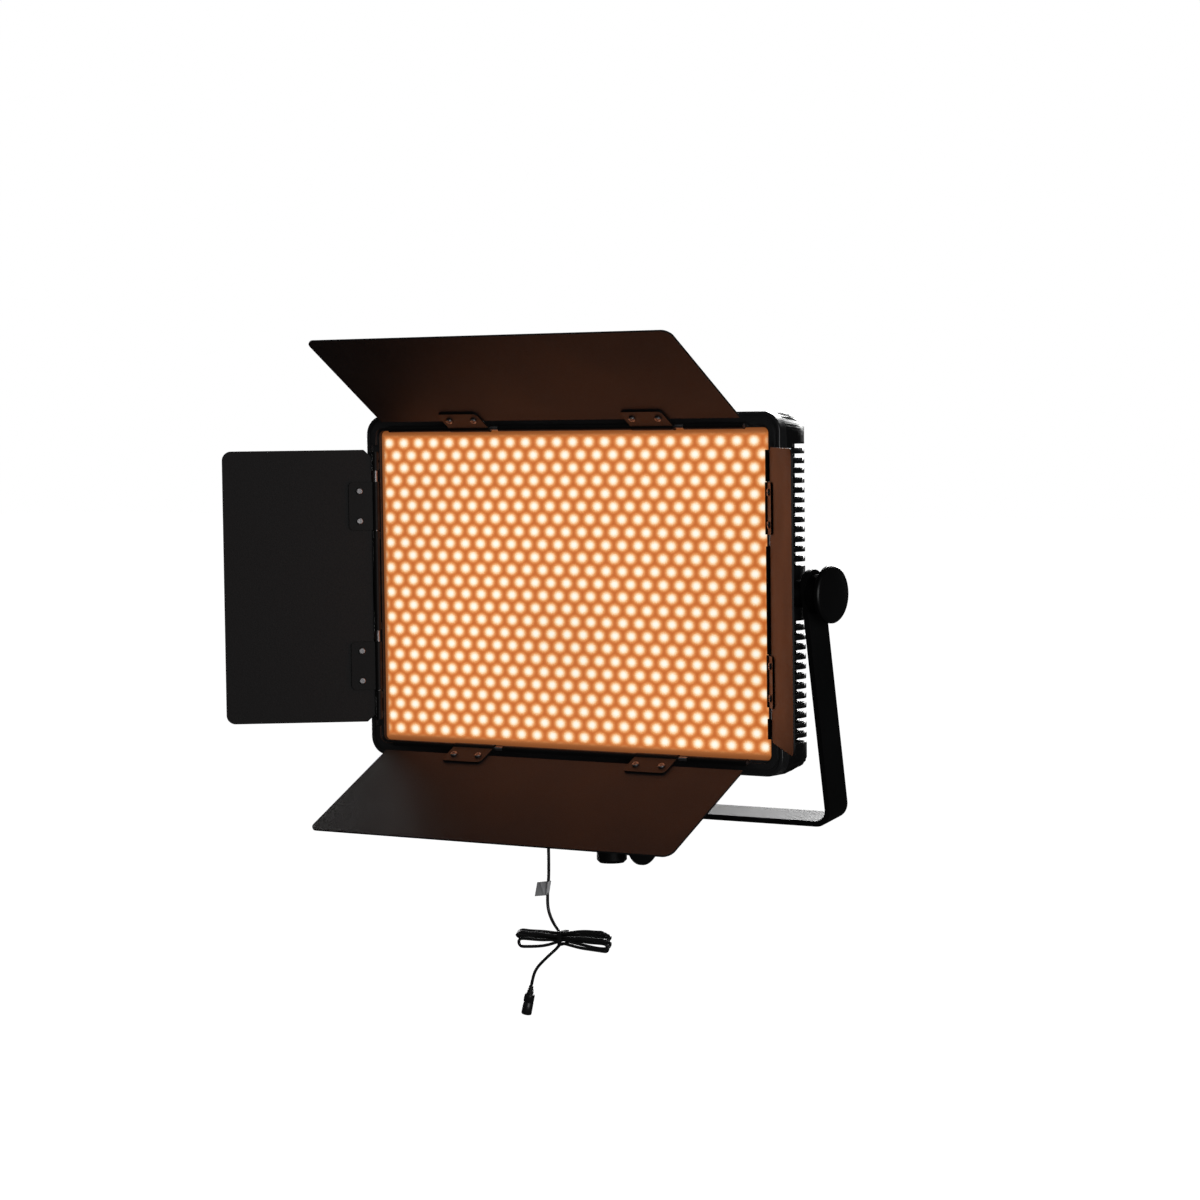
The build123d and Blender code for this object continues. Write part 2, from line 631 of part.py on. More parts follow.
def knob_stud(at, side, inner):
    """Threaded stud fixed in a knob; it runs back by the given length."""
    return at * rod(STUD_R, (-side * inner, 0, 0), (side * KNOB_STUD_DEPTH, 0, 0))


def pivot_parts():
    """Both clamp knobs of the panel's tilt axis, and the spacers between the arms and the housing."""
    wall = HOUSING_W / 2
    gap = YOKE_INNER - wall
    face = YOKE_INNER + STRAP_T + KNOB_GAP
    parts, spacers = {}, []
    for name, side in (("right", 1), ("left", -1)):
        pivot = PANEL_AT * Pos(side * wall, PIVOT_Y, 0)
        spacer = rod(SPACER_R, (0, 0, 0), (side * (gap - 0.1), 0, 0))
        spacers.append(pivot * (spacer - rod(STUD_R + 0.1, (-side, 0, 0), (side * gap, 0, 0))))
        at = PANEL_AT * Pos(side * face, PIVOT_Y, 0)
        parts[f"tilt_knob_{name}"] = knob(at, side)
        parts[f"tilt_stud_{name}"] = knob_stud(at, side, face - wall + STUD_IN_SHELL)
    parts["pivot_spacers"] = Compound(spacers)
    return parts


def yoke_strap():
    """The U-shaped strap, in the yoke frame, with pivot and knuckle holes."""
    low = KNUCKLE_TO_BAR
    top = KNUCKLE_TO_PIVOT + ARM_OVER_PIVOT + STRAP_W / 2
    outer_x = YOKE_INNER + STRAP_T
    outer = Plane.XZ * Pos(0, (low + top) / 2) * Rectangle(2 * outer_x, top - low)
    inner = Plane.XZ * Pos(0, (low + STRAP_T + top + 20) / 2) * Rectangle(
        2 * YOKE_INNER, top + 20 - low - STRAP_T
    )
    solid_outer = Pos(0, STRAP_W / 2, 0) * extrude(outer, STRAP_W)
    solid_outer = fillet(solid_outer.edges().filter_by(Axis.Y).group_by(Axis.Z)[0], STRAP_BEND + STRAP_T)
    solid_inner = Pos(0, STRAP_W, 0) * extrude(inner, 2 * STRAP_W)
    solid_inner = fillet(solid_inner.edges().filter_by(Axis.Y).group_by(Axis.Z)[0], STRAP_BEND)
    strap = solid_outer - solid_inner
    end_edges = strap.edges().filter_by(Axis.X).group_by(Axis.Z)[-1]
    strap = fillet(end_edges, STRAP_W / 2 - 0.05)
    for side in (-1, 1):
        a = side * (YOKE_INNER - 1)
        b = side * (YOKE_INNER + STRAP_T + 1)
        strap -= rod(STUD_R + 0.3, (a, 0, KNUCKLE_TO_PIVOT), (b, 0, KNUCKLE_TO_PIVOT))
    for y in TONGUE_SCREW_Y:
        strap -= rod(TONGUE_SCREW_R + RUNNING, (0, y, low - 1), (0, y, low + STRAP_T + 1))
    return strap


def knuckle_parts():
    """Tongue under the yoke and its two screws, in the yoke frame."""
    half = TONGUE_W / 2
    tongue = rod(EAR_R, (-half, 0, 0), (half, 0, 0))
    tongue += box((-half, half), (-EAR_R, EAR_R), (0, KNUCKLE_TO_BAR))
    tongue -= rod(TILT_BOLT_R + RUNNING, (-20, 0, 0), (20, 0, 0))
    screws = []
    top = KNUCKLE_TO_BAR + STRAP_T
    low = KNUCKLE_TO_BAR - TONGUE_SCREW_DEPTH
    for y in TONGUE_SCREW_Y:
        tongue -= rod(TONGUE_SCREW_R, (0, y, low), (0, y, KNUCKLE_TO_BAR + 1))
        shank = rod(TONGUE_SCREW_R, (0, y, low), (0, y, top))
        head = rod(3.6, (0, y, top), (0, y, top + 2.2))
        head = fillet(head.edges().group_by(Axis.Z)[-1], 1.2)
        screws.append(shank + head)
    return tongue, Compound(screws)


def stand_socket():
    """Socket for a 16 mm stand spigot, with a clevis above and a boss for the clamp screw."""
    slot_floor = KNUCKLE_Z - KNUCKLE_TO_BAR
    body = rod(SOCKET_R, (0, 0, 0), (0, 0, slot_floor))
    body = chamfer(body.edges().group_by(Axis.Z)[0], 2.6)
    ears = box((-SOCKET_R, SOCKET_R), (-EAR_R, EAR_R), (slot_floor - 2, KNUCKLE_Z))
    ears += rod(EAR_R, (-SOCKET_R, 0, KNUCKLE_Z), (SOCKET_R, 0, KNUCKLE_Z))
    ears -= box((-TONGUE_W / 2 - 0.2, TONGUE_W / 2 + 0.2), (-20, 20), (slot_floor, KNUCKLE_Z + 20))
    body += ears
    body += rod(6.5, (SOCKET_BORE_R, 0, CLAMP_Z), (SOCKET_R + CLAMP_BOSS, 0, CLAMP_Z))
    body -= rod(SOCKET_BORE_R, (0, 0, -1), (0, 0, SOCKET_BORE_DEPTH))
    body -= rod(STUD_R + RUNNING, (0, 0, CLAMP_Z), (30, 0, CLAMP_Z))
    body -= rod(TILT_BOLT_R + RUNNING, (-20, 0, KNUCKLE_Z), (20, 0, KNUCKLE_Z))
    return body


def tilt_lock():
    """Tilt bolt with a low round head, and the thumb nut on its other end."""
    bolt = rod(TILT_BOLT_R, (-24.0, 0, KNUCKLE_Z), (SOCKET_R, 0, KNUCKLE_Z))
    head = rod(6.5, (SOCKET_R, 0, KNUCKLE_Z), (SOCKET_R + 4.0, 0, KNUCKLE_Z))
    bolt += fillet(head.edges().group_by(Axis.X)[-1], 1.2)
    inner = -SOCKET_R - KNOB_GAP
    nut = rod(THUMB_NUT_R, (inner - THUMB_NUT_L, 0, KNUCKLE_Z), (inner, 0, KNUCKLE_Z))
    nut = fillet(nut.edges().group_by(Axis.X)[0], 1.5)
    for i in range(16):
        turn = Pos(0, 0, KNUCKLE_Z) * Rot(i * 360 / 16, 0, 0)
        nut -= turn * rod(0.8, (inner - THUMB_NUT_L - 1, 0, 9.3), (inner + 1, 0, 9.3))
    nut -= rod(TILT_BOLT_R + RUNNING, (-24.6, 0, KNUCKLE_Z), (0, 0, KNUCKLE_Z))
    return bolt, nut


def lead_tube(points):
    """Round tube along straight runs joined by the largest tangent arcs, with its radii printed."""
    vectors = [Vector(*p) for p in points]
    radii = []
    for a, b, c in zip(vectors, vectors[1:], vectors[2:]):
        turn = math.radians((b - a).get_angle(c - b))
        radii.append(0.45 * min((b - a).length, (c - b).length) / math.tan(turn / 2))
    path = FilletPolyline(*vectors, radius=radii)
    print("lead radii:", [round(r, 1) for r in radii], "length:", round(path.length, 1))
    start = Plane(origin=vectors[0], z_dir=vectors[1] - vectors[0])
    tube = sweep(start * Circle(LEAD_D / 2), path=path)
    expected = math.pi * LEAD_D**2 / 4 * path.length
    print("tube volume over section times length:", round(tube.volume / expected, 4))
    return tube


def lead_parts():
    """The power lead's tubes, its tied hank and what is on it."""
    outline = make_face(Plane.XZ * Polyline(*HANK_OUTLINE, HANK_OUTLINE[0]))
    hank = Pos(0, LEAD_PLANE + HANK_T / 2, 0) * extrude(outline, HANK_T)
    half_t = HANK_T / 2
    low, high = TIE_SPAN
    tie = box(
        (TIE_X - TIE_W / 2, TIE_X + TIE_W / 2),
        (LEAD_PLANE - half_t - TIE_T, LEAD_PLANE + half_t + TIE_T),
        (low - TIE_T, high + TIE_T),
    )
    tie -= box(
        (TIE_X - TIE_W, TIE_X + TIE_W),
        (LEAD_PLANE - half_t - 0.05, LEAD_PLANE + half_t + 0.05),
        (low - 0.3, high + 0.1),
    )
    drop = lead_tube(LEAD_DROP)
    flag_face = make_face(Plane.XZ * Polyline(*TAG_CORNERS, TAG_CORNERS[0]))
    flag = Pos(0, LEAD_PLANE + TAG_T / 2, 0) * extrude(flag_face, TAG_T)
    wrap = rod(LEAD_D / 2 + TAG_T, *TAG_WRAP)
    end = Vector(*LEAD_TAIL[-1])
    way = (end - Vector(*LEAD_TAIL[-2])).normalized()
    relief = loft(
        [Plane(origin=end, z_dir=way) * Circle(1.9), Plane(origin=end + way * 7, z_dir=way) * Circle(3.4)]
    )
    shell = extrude(Plane(origin=end + way * 7, z_dir=way) * Circle(4.6), 19)
    shell -= extrude(Plane(origin=end + way * 17, z_dir=way) * Circle(2.8), 12)
    return {
        "lead_drop": drop,
        "lead_hank": hank,
        "lead_tie": tie,
        "lead_tag": flag + wrap - drop,
        "lead_tail": lead_tube(LEAD_TAIL),
        "lead_connector": relief + shell,
    }


def main():
    os.makedirs("parts", exist_ok=True)
    nodes = {
        "rear_shell": PANEL_AT * rear_shell(),
        "front_frame": PANEL_AT * front_frame(),
        "lead_plug": PANEL_AT * lead_plug(),
    }
    for group in (panel_inside(), control_parts(), hinge_rails()):
        nodes.update({name: PANEL_AT * shape for name, shape in group.items()})
    for door in DOORS:
        nodes.update(door_parts(door))
    nodes.update(pivot_parts())
    tongue, tongue_screws = knuckle_parts()
    nodes["yoke_strap"] = YOKE_AT * yoke_strap()
    nodes["yoke_tongue"] = YOKE_AT * tongue
    nodes["tongue_screws"] = YOKE_AT * tongue_screws
    nodes["stand_socket"] = stand_socket()
    nodes["tilt_bolt"], nodes["tilt_thumb_nut"] = tilt_lock()
    clamp_at = Pos(SOCKET_R + CLAMP_BOSS + KNOB_GAP, 0, CLAMP_Z)
    nodes["clamp_knob"] = knob(clamp_at, 1)
    nodes["clamp_stud"] = knob_stud(clamp_at, 1, CLAMP_STUD_L)
    nodes.update(lead_parts())
    for name, shape in nodes.items():
        export_step(shape, f"parts/{name}.step")
    print(len(nodes), "nodes")


main()
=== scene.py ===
import json
import math

import bmesh
import bpy
from mathutils import Matrix, Vector

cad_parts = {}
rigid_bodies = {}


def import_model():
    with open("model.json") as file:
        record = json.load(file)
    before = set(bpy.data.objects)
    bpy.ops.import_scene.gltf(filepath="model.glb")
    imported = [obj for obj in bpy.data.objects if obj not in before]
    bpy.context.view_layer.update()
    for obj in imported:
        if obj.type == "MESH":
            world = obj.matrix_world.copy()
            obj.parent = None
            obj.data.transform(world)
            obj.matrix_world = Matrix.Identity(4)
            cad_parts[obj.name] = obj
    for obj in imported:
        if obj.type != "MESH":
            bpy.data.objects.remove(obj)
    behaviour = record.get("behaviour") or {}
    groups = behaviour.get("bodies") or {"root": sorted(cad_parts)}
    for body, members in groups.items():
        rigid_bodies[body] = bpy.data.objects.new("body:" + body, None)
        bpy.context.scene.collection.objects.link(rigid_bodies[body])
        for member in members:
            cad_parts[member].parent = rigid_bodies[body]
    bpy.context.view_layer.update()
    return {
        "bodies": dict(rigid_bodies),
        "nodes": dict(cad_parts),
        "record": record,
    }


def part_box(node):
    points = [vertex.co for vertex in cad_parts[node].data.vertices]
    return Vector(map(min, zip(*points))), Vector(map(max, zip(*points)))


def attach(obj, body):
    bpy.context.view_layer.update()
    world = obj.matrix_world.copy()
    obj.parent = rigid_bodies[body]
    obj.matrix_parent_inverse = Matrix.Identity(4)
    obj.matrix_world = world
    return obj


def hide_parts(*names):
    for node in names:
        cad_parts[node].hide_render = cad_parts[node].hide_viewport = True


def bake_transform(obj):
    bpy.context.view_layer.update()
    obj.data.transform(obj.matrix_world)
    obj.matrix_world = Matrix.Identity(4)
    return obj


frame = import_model()

MM = 0.001
NODES = frame["nodes"]
BODIES = frame["bodies"]
RECORD = frame["record"]

# Panel: its centre, and the LED lattice, which repeats the board's
PANEL_CENTRE = Vector((0, -48.5 * MM, 236 * MM))
LED_PITCH_X = 16.5 * MM
LED_PITCH_Z = 10.77 * MM
LED_AREA = (396 * MM, 258 * MM)

# Light through the diffuser: how ragged a spot is, how far its colours reach, how much it is widened
# across, its colours from the middle out, and the dim margin round the lit area with its blur
SPOT_RAGGED = 2.2 * MM
SPOT_REACH = 8.6 * MM
SPOT_SQUEEZE = (0.82, 1, 1)
SPOT_COLOURS = [
    (0.0, (1.0, 0.98, 0.90)),
    (0.20, (1.0, 0.95, 0.79)),
    (0.38, (0.98, 0.66, 0.39)),
    (0.53, (0.80, 0.33, 0.11)),
    (0.67, (0.65, 0.19, 0.045)),
    (0.80, (0.57, 0.145, 0.027)),
]
DIM_REACH = 8.0 * MM
DIM_BLUR = 1.5 * MM
DIM_COLOURS = [(0.0, (0.46, 0.15, 0.04)), (0.35, (0.27, 0.08, 0.018)), (1.0, (0.10, 0.028, 0.007))]

# Rear shell: half its width and height, and its corner radius in millimetres, which grows with the
# depth behind the panel's centre
HOUSING_HALF = (214.2 * MM, 147.3 * MM)
CORNER_FRONT = 16
CORNER_BACK = 33
GROWS_FROM = 9
GROWS_OVER = 30

# Bevels on edges sharper than this angle, and the pieces that get the wide one
SHARP = math.radians(40)
WIDE_BEVEL = 0.35 * MM
FINE_BEVEL = 0.25 * MM
SOFTENED = ("yoke_strap", "yoke_tongue", "front_frame", "stand_socket", "control_plate", "rocker_frame")

# Side doors: turn round the panel's axis and opening, in degrees, as in CAD, and the hinge from the
# panel's centre before that turn. The margin's outline is in millimetres from the hinge, along it and
# across the door, and its two faces are that far from the hinge's plane.
SIDE_DOORS = {"right": (90, 40.5), "left": (270, 48.1)}
DOOR_HINGE = Vector((0, -13, 204)) * MM
MARGIN_OUTLINE = [
    (-118.5, -11.6),
    (118.5, -11.6),
    (118.5, -10.0),
    (112.5, -3.7),
    (-112.5, -3.7),
    (-118.5, -10.0),
]
MARGIN_FACES = (0.05, 0.75)

# Camera, standing to the right of the light and looking slightly down
CAMERA_AT = Vector((1757.8, -2440.3, 380.6)) * MM
CAMERA_FORWARD = Vector((-0.5854, 0.8083, -0.0621))
CAMERA_RIGHT = Vector((0.8103, 0.5859, -0.0126))
LENS_MM = 106.07
SENSOR_MM = 36.0
SHIFT_Y = 0.0306

# Lights: place and size in metres, power in watts
WHITE = (1, 1, 1)
AIM = (0, 0, 0.2)
LIGHTS = {
    "key_light": ((-1.6, -2.4, 2.2), (1.6, 1.6), 4),
    "fill_light": ((2.4, -1.7, 0.5), (1.2, 1.2), 27),
    "back_light": ((-0.6, 2.6, 1.4), (1.6, 1.2), 190),
    "far_side_light": ((-2.4, 1.3, 0.5), (1.0, 1.6), 60),
}
GLOW_GAP = 0.7 * MM
GLOW_POWER = 0.17
GLOW_COLOUR = (1.0, 0.10, 0.0)
FLOOR_REACH = 40.0
FLOOR_Z = -1.1
DIM_WORLD = 0.035

# Power lead: the route of the free stretch, the hank and the tail, in millimetres
LEAD_D = 2.8 * MM
LEAD_PLANE = 19.5
LEAD_DROP = [
    (-81.0, 6.0, 122.0),
    (-81.0, 6.5, 108.0),
    (-81.3, 12.0, 84.0),
    (-82.0, 17.5, 58.0),
    (-82.6, 19.5, 30.0),
    (-82.0, 19.5, 3.0),
    (-82.2, 19.5, -21.0),
    (-84.0, 19.5, -37.0),
    (-83.7, 19.5, -48.0),
    (-80.5, 19.5, -56.4),
    (-76.2, 19.5, -62.6),
    (-71.0, 19.5, -68.0),
]
LEAD_TAIL = [
    (-74.5, 19.5, -82.5),
    (-82.0, 19.5, -88.5),
    (-89.8, 19.5, -95.0),
    (-97.0, 19.5, -101.8),
    (-101.0, 19.5, -109.5),
    (-103.0, 19.5, -118.0),
]
# Hank, tied at its waist, where strands lie in lanes and rows. A fold is its tip's x, then y from the
# lead's plane and z going out, and the same coming back
WAIST_X = -67.5
WAIST_Z = -72.8
LANE = 2.75
ROW = 2.6
TOP_ROW = 3.9
FOLD_STEPS = 6
RIGHT_FOLDS = [
    (-20.0, -3.4, -64.2, 3.2, -69.6),
    (-17.5, 3.6, -67.8, -3.2, -72.0),
    (-19.0, -3.6, -71.0, 3.4, -74.5),
    (-17.0, 2.0, -72.5, -2.6, -78.5),
    (-19.5, -1.0, -74.5, 1.0, -81.6),
]
LEFT_FOLDS = [
    (-116.5, 3.4, -69.6, -3.2, -73.0),
    (-114.5, -3.4, -70.4, 3.4, -75.0),
    (-117.5, -2.8, -72.4, 3.0, -77.0),
    (-116.5, 0.0, -76.8, 0.8, -84.0),
]
# Tag: its corners in x and z, from the top left one, its grid of columns and rows, and half its thickness
TAG_CORNERS = [(-96.0, -26.0), (-79.6, -23.4), (-82.4, -36.3), (-98.9, -38.6)]
TAG_GRID = (30, 18)
TAG_HALF_THICK = 0.12


# ---------------------------------------------------------------- materials


def new_material(name):
    """A new material, its node tree and its Principled shader."""
    material = bpy.data.materials.new(name)
    material.use_nodes = True
    tree = material.node_tree
    return material, tree, tree.nodes["Principled BSDF"]


def feed(tree, node, inputs):
    """Give a node's inputs their values, or link them to another node's socket."""
    for key, value in inputs.items():
        if isinstance(value, bpy.types.NodeSocket):
            tree.links.new(value, node.inputs[key])
        else:
            node.inputs[key].default_value = value


def add(tree, kind, inputs=None, **settings):
    """A node with its settings and its inputs."""
    node = tree.nodes.new(kind)
    for key, value in settings.items():
        setattr(node, key, value)
    feed(tree, node, inputs or {})
    return node


def object_place(tree):
    """The shaded point in the object's own coordinates."""
    return add(tree, "ShaderNodeTexCoord").outputs["Object"]


def noise(tree, place, scale, detail):
    """Outputs of a noise texture: its value first, and its colour under "Color"."""
    return add(tree, "ShaderNodeTexNoise", {"Vector": place, "Scale": scale, "Detail": detail}).outputs


def vector_math(tree, operation, *values, output=0):
    """Result of a vector operation on values or sockets."""
    return add(tree, "ShaderNodeVectorMath", dict(enumerate(values)), operation=operation).outputs[output]


def number_math(tree, operation, *values):
    """Result of an operation on numbers or sockets."""
    return add(tree, "ShaderNodeMath", dict(enumerate(values)), operation=operation).outputs[0]


def rescaled(tree, value, source=(0, 1), target=(0, 1)):
    """The value mapped from the source span to the target span, and kept inside it."""
    ends = {"From Min": source[0], "From Max": source[1], "To Min": target[0], "To Max": target[1]}
    return add(tree, "ShaderNodeMapRange", {"Value": value, **ends}).outputs[0]


def colour_ramp(tree, share, stops):
    """Output of a colour ramp with the given (position, colour) stops."""
    ramp = add(tree, "ShaderNodeValToRGB", {"Fac": share})
    elements = ramp.color_ramp.elements
    while len(elements) < len(stops):
        elements.new(0.5)
    for element, (position, colour) in zip(elements, stops):
        element.position = position
        element.color = (*colour, 1)
    return ramp.outputs[0]


def relief(tree, height, strength, distance):
    """Normal of a bumped surface."""
    inputs = {"Height": height, "Strength": strength, "Distance": distance}
    return add(tree, "ShaderNodeBump", inputs).outputs[0]


def grained(name, dark, light, roughness, scale, bump, metallic=0.0, speckle=0.5, gloss=0.5):
    """Painted, moulded or sheathed surface: fine grain in colour, roughness and bump."""
    material, tree, shader = new_material(name)
    place = object_place(tree)
    fine = noise(tree, place, scale, 3.0)[0]
    wide = noise(tree, place, 18.0, 4.0)[0]
    mixed = add(tree, "ShaderNodeMix", {0: speckle, 2: fine, 3: wide}, data_type="FLOAT").outputs[0]
    inputs = {
        "Base Color": colour_ramp(tree, mixed, [(0.35, dark), (0.65, light)]),
        "Roughness": rescaled(tree, wide, target=(roughness - 0.06, roughness + 0.08)),
        "Normal": relief(tree, fine, bump, 0.2 * MM),
        "Metallic": metallic,
        "Specular IOR Level": gloss,
    }
    feed(tree, shader, inputs)
    return material


def brushed(name, colour, roughness):
    """Bright metal with fine turning marks."""
    material, tree, shader = new_material(name)
    marks = noise(tree, object_place(tree), 1500.0, 2.0)[0]
    inputs = {
        "Base Color": (*colour, 1),
        "Roughness": rescaled(tree, marks, target=(roughness - 0.08, roughness + 0.1)),
        "Normal": relief(tree, marks, 0.15, 0.1 * MM),
        "Metallic": 1.0,
    }
    feed(tree, shader, inputs)
    return material


def nearest_spot(tree, flat):
    """Distance from the nearest LED: the staggered lattice is two plain ones, half a column apart."""
    half = (LED_PITCH_X / 2, 1, LED_PITCH_Z)
    far = []
    for first_x, first_z in ((-0.25, 0.5), (0.25, -0.5)):
        start = (first_x * LED_PITCH_X, 0, first_z * LED_PITCH_Z)
        moved = vector_math(tree, "SUBTRACT", flat, start)
        cell = vector_math(tree, "WRAP", moved, half, tuple(-h for h in half))
        squeezed = vector_math(tree, "MULTIPLY", cell, SPOT_SQUEEZE)
        far.append(vector_math(tree, "LENGTH", squeezed, output="Value"))
    return number_math(tree, "MINIMUM", *far)


def past_lit_area(tree, flat):
    """Distance past the edge of the LED area, negative inside it."""
    axes = add(tree, "ShaderNodeSeparateXYZ", {0: vector_math(tree, "ABSOLUTE", flat)}).outputs
    over = [number_math(tree, "SUBTRACT", axes[axis], span / 2) for axis, span in zip("XZ", LED_AREA)]
    return number_math(tree, "MAXIMUM", *over)


def lit_diffuser():
    """Translucent sheet lit from behind: bright spots on the LED lattice, and a dim margin."""
    material, tree, shader = new_material("lit_diffuser")
    place = object_place(tree)
    local = vector_math(tree, "SUBTRACT", place, tuple(PANEL_CENTRE))
    jagged = vector_math(tree, "SUBTRACT", noise(tree, place, 900.0, 2.0)["Color"], (0.5, 0.5, 0.5))
    shaken = vector_math(tree, "MULTIPLY_ADD", jagged, (SPOT_RAGGED,) * 3, local)
    flat = vector_math(tree, "MULTIPLY", shaken, (1, 0, 1))
    past_edge = past_lit_area(tree, flat)
    spots = colour_ramp(tree, rescaled(tree, nearest_spot(tree, flat), (0, SPOT_REACH)), SPOT_COLOURS)
    margin = colour_ramp(tree, rescaled(tree, past_edge, (0, DIM_REACH)), DIM_COLOURS)
    edge = rescaled(tree, past_edge, (-DIM_BLUR, DIM_BLUR))
    glow = add(tree, "ShaderNodeMix", {0: edge, 6: spots, 7: margin}, data_type="RGBA")
    inputs = {
        "Base Color": (0.10, 0.06, 0.04, 1),
        "Roughness": 0.5,
        "Emission Color": glow.outputs[2],
        "Emission Strength": rescaled(tree, noise(tree, place, 7.0, 1.0)[0], target=(0.92, 1.08)),
    }
    feed(tree, shader, inputs)
    return material


def grey(value):
    """A grey with a cool tint."""
    return (value, value, value * 1.06)


def make_materials():
    """One material for each slot of the record."""
    return {
        "black_housing": grained("housing_coat", grey(0.003), grey(0.007), 0.5, 900, 0.25, gloss=0.2),
        "black_frame": grained("frame_coat", grey(0.008), grey(0.018), 0.36, 900, 0.2, gloss=0.5),
        "black_door": grained(
            "door_coat", grey(0.005), grey(0.014), 0.6, 1100, 0.5, speckle=0.35, gloss=0.22
        ),
        "black_steel": grained("steel_coat", grey(0.002), grey(0.006), 0.5, 900, 0.2, gloss=0.16),
        "steel": brushed("plated_steel", (0.20, 0.195, 0.20), 0.4),
        "black_screw": grained("black_oxide", grey(0.02), grey(0.04), 0.35, 1500, 0.15, metallic=0.8),
        "knob_plastic": grained("knob_plastic", grey(0.002), grey(0.005), 0.36, 1400, 0.25, gloss=0.25),
        "diffuser": lit_diffuser(),
        "lens": grained("lens_plastic", (0.85, 0.80, 0.68), (0.95, 0.90, 0.78), 0.2, 700, 0.05),
        "board_white": grained("board_white", grey(0.75), grey(0.85), 0.5, 700, 0.1),
        "board_green": grained("board_green", (0.02, 0.18, 0.07), (0.03, 0.26, 0.10), 0.4, 700, 0.1),
        "aluminium": brushed("milled_aluminium", (0.75, 0.75, 0.77), 0.4),
        "rubber": grained("rubber_black", grey(0.010), grey(0.016), 0.7, 900, 0.2),
        "lead": grained("lead_vinyl", grey(0.008), grey(0.016), 0.36, 1600, 0.15),
        "tag": grained("tag_film", (0.86, 0.87, 0.90), (0.97, 0.97, 0.98), 0.3, 500, 0.1),
        "window": grained("smoked_window", grey(0.006), grey(0.010), 0.12, 500, 0.02),
        "brass": brushed("brass", (0.70, 0.54, 0.28), 0.3),
    }


# ---------------------------------------------------------------- mesh helpers


def placed(name, data):
    """An object from its data, in the scene."""
    holder = bpy.data.objects.new(name, data)
    bpy.context.scene.collection.objects.link(holder)
    return holder


def mesh_data(name, mesh):
    """The bmesh as Blender's own mesh; the bmesh is freed."""
    data = bpy.data.meshes.new(name)
    mesh.to_mesh(data)
    mesh.free()
    return data


def turned_out(mesh):
    """The bmesh with all its faces turned outwards."""
    bmesh.ops.recalc_face_normals(mesh, faces=mesh.faces)
    return mesh


def piece(name, mesh, body, slot, smooth=True):
    """An object from a mesh, riding on a body if one is named, with its slot's material."""
    obj = placed(name, mesh)
    mesh.materials.append(MATERIALS[slot])
    if smooth:
        mesh.shade_smooth()
    if body:
        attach(obj, body)
    return obj


def ring(centre, normal, side, radius, count):
    """Points round a circle, from the two unit directions across its axis."""
    points = []
    for k in range(count):
        angle = 2 * math.pi * k / count
        offset = normal * math.cos(angle) + side * math.sin(angle)
        points.append(centre + offset * radius)
    return points


def skinned(name, rings):
    """Mesh over a row of rings of points, closed at both ends."""
    mesh = bmesh.new()
    rows = [[mesh.verts.new(point) for point in points] for points in rings]
    for low, high in zip(rows, rows[1:]):
        for k in range(len(low)):
            after = (k + 1) % len(low)
            mesh.faces.new((low[k], low[after], high[after], high[k]))
    mesh.faces.new(reversed(rows[0]))
    mesh.faces.new(rows[-1])
    return mesh_data(name, turned_out(mesh))


def tube(name, path, radius, sides=14):
    """Round tube along a path."""
    normal = Vector((0, 1, 0))
    rings = []
    for i, point in enumerate(path):
        ahead = path[min(i + 1, len(path) - 1)] - path[max(i - 1, 0)]
        tangent = ahead.normalized()
        normal = (normal - tangent * normal.dot(tangent)).normalized()
        rings.append(ring(point, normal, tangent.cross(normal), radius, sides))
    return skinned(name, rings)


def lathed(name, origin, way, outline, sides=32):
    """Surface turned round an axis from (along, radius) points, in millimetres."""
    normal = way.orthogonal().normalized()
    side = way.cross(normal)
    rings = [ring(origin + way * (along * MM), normal, side, radius * MM, sides) for along, radius in outline]
    return skinned(name, rings)


def smooth_line(points):
    """Points along the NURBS spline whose control points are given."""
    curve = bpy.data.curves.new("lead_route", "CURVE")
    curve.dimensions = "3D"
    curve.resolution_u = 10
    spline = curve.splines.new("NURBS")
    spline.points.add(len(points) - 1)
    for target, point in zip(spline.points, points):
        target.co = (*point, 1)
    spline.order_u = 3
    spline.use_endpoint_u = True
    holder = placed("lead_route", curve)
    bpy.context.view_layer.update()
    mesh = bpy.data.meshes.new_from_object(holder.evaluated_get(bpy.context.evaluated_depsgraph_get()))
    line = [v.co.copy() for v in mesh.vertices]
    bpy.data.objects.remove(holder)
    return line


# ---------------------------------------------------------------- housing and hard edges


def joined(node):
    """A CAD node's mesh as a bmesh, its doubled corners joined."""
    mesh = bmesh.new()
    mesh.from_mesh(NODES[node].data)
    bmesh.ops.remove_doubles(mesh, verts=mesh.verts, dist=1e-6)
    return mesh


def stand_in(node, mesh):
    """A piece shown in place of a CAD node, smooth but for its sharp edges."""
    data = mesh_data(f"{node}_shaped", mesh)
    body = next(name for name, empty in BODIES.items() if NODES[node].parent is empty)
    shaped = piece(f"{node}_shaped", data, body, SLOTS[node])
    data.set_sharp_from_angle(angle=math.radians(50))
    even = shaped.modifiers.new("even_shading", "WEIGHTED_NORMAL")
    even.keep_sharp = True
    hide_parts(node)


def soften(node, width):
    """Narrow bevels on a CAD piece's hard edges, which catch the light."""
    mesh = joined(node)
    bmesh.ops.dissolve_limit(mesh, angle_limit=math.radians(0.5), verts=mesh.verts, edges=mesh.edges)
    hard = [e for e in mesh.edges if e.is_manifold and e.calc_face_angle() > SHARP]
    bmesh.ops.bevel(
        mesh, geom=hard, offset=width, segments=2, profile=0.6, affect="EDGES", clamp_overlap=True
    )
    stand_in(node, mesh)


